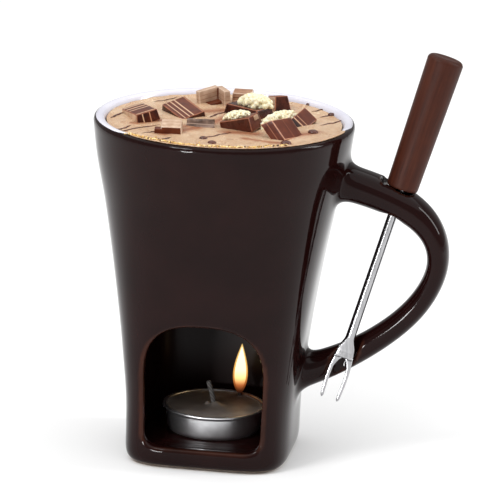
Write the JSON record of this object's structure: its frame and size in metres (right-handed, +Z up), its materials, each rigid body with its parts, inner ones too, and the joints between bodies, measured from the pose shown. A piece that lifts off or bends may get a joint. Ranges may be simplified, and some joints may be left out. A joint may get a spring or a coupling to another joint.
{
  "type": "fondue mug",
  "caption": "Ceramic fondue mug with a tea light in an arched chamber, a loop handle that holds a hanging fork, and a bowl full of frothy melted chocolate with chocolate pieces.",
  "frame": {"origin": "centre of the flat foot, on the surface the mug stands on", "axes": "+Z up; the mouth of the tea-light chamber faces -Y; the handle and fork stand towards +X"},
  "size_m": [0.1391, 0.0996, 0.1611],
  "materials": {
    "brown_glaze": "high gloss dark brown glaze",
    "white_glaze": "gloss white glaze",
    "aluminium_cup": "pressed foil, satin",
    "candle_wax": "smooth paraffin wax",
    "tinned_steel": "tinned",
    "wick_cotton": "waxed braided cotton",
    "stainless": "polished stainless steel",
    "grip_wood": "stained, satin varnish",
    "melted_chocolate": "wet chocolate",
    "froth": "fine froth",
    "milk_chocolate": "moulded chocolate",
    "pale_chocolate": "moulded pale chocolate",
    "dark_shaving": "shaved chocolate",
    "white_crisps": "puffed and coated",
    "biscuit": "baked crumb"
  },
  "bodies": {
    "mug": {"mug_body": "brown_glaze", "mug_handle": "brown_glaze", "inner_glaze": "white_glaze"},
    "tea_light": {"tealight_cup": "aluminium_cup", "tealight_wax": "candle_wax", "wick_sustainer": "tinned_steel", "wick": "wick_cotton", "lit_wick": "wick_cotton"},
    "fork": {"fork_tines": "stainless", "fork_grip": "grip_wood"},
    "filling": {"melted_chocolate": "melted_chocolate", "fondue_froth": "froth", "chocolate_1_striped": "milk_chocolate", "chocolate_2_striped": "milk_chocolate", "chocolate_3_corner": "pale_chocolate", "chocolate_4_wafer": "pale_chocolate", "chocolate_5_dark": "milk_chocolate", "chocolate_6_block": "milk_chocolate", "chocolate_7_large": "milk_chocolate", "chocolate_8_striped": "milk_chocolate", "chocolate_9_wafer": "pale_chocolate", "chocolate_10_base": "milk_chocolate", "chocolate_shaving": "dark_shaving", "white_crisps_back": "white_crisps", "white_crisps_right": "white_crisps", "white_crisps_top": "white_crisps", "chocolate_drizzle": "melted_chocolate", "chocolate_drops": "melted_chocolate", "biscuit_crumbs": "biscuit"}
  },
  "joints": [
    {"name": "fork_lift", "type": "slide", "parent": "mug", "child": "fork", "axis": [0.2673, 0.1156, 0.9566], "range_m": [0, 0.1]},
    {"name": "tea_light_slide", "type": "slide", "parent": "mug", "child": "tea_light", "axis": [0, -1, 0], "range_m": [0, 0.075]},
    {"name": "filling_lift", "type": "slide", "parent": "mug", "child": "filling", "axis": [0, 0, 1], "range_m": [0, 0.075]}
  ]
}
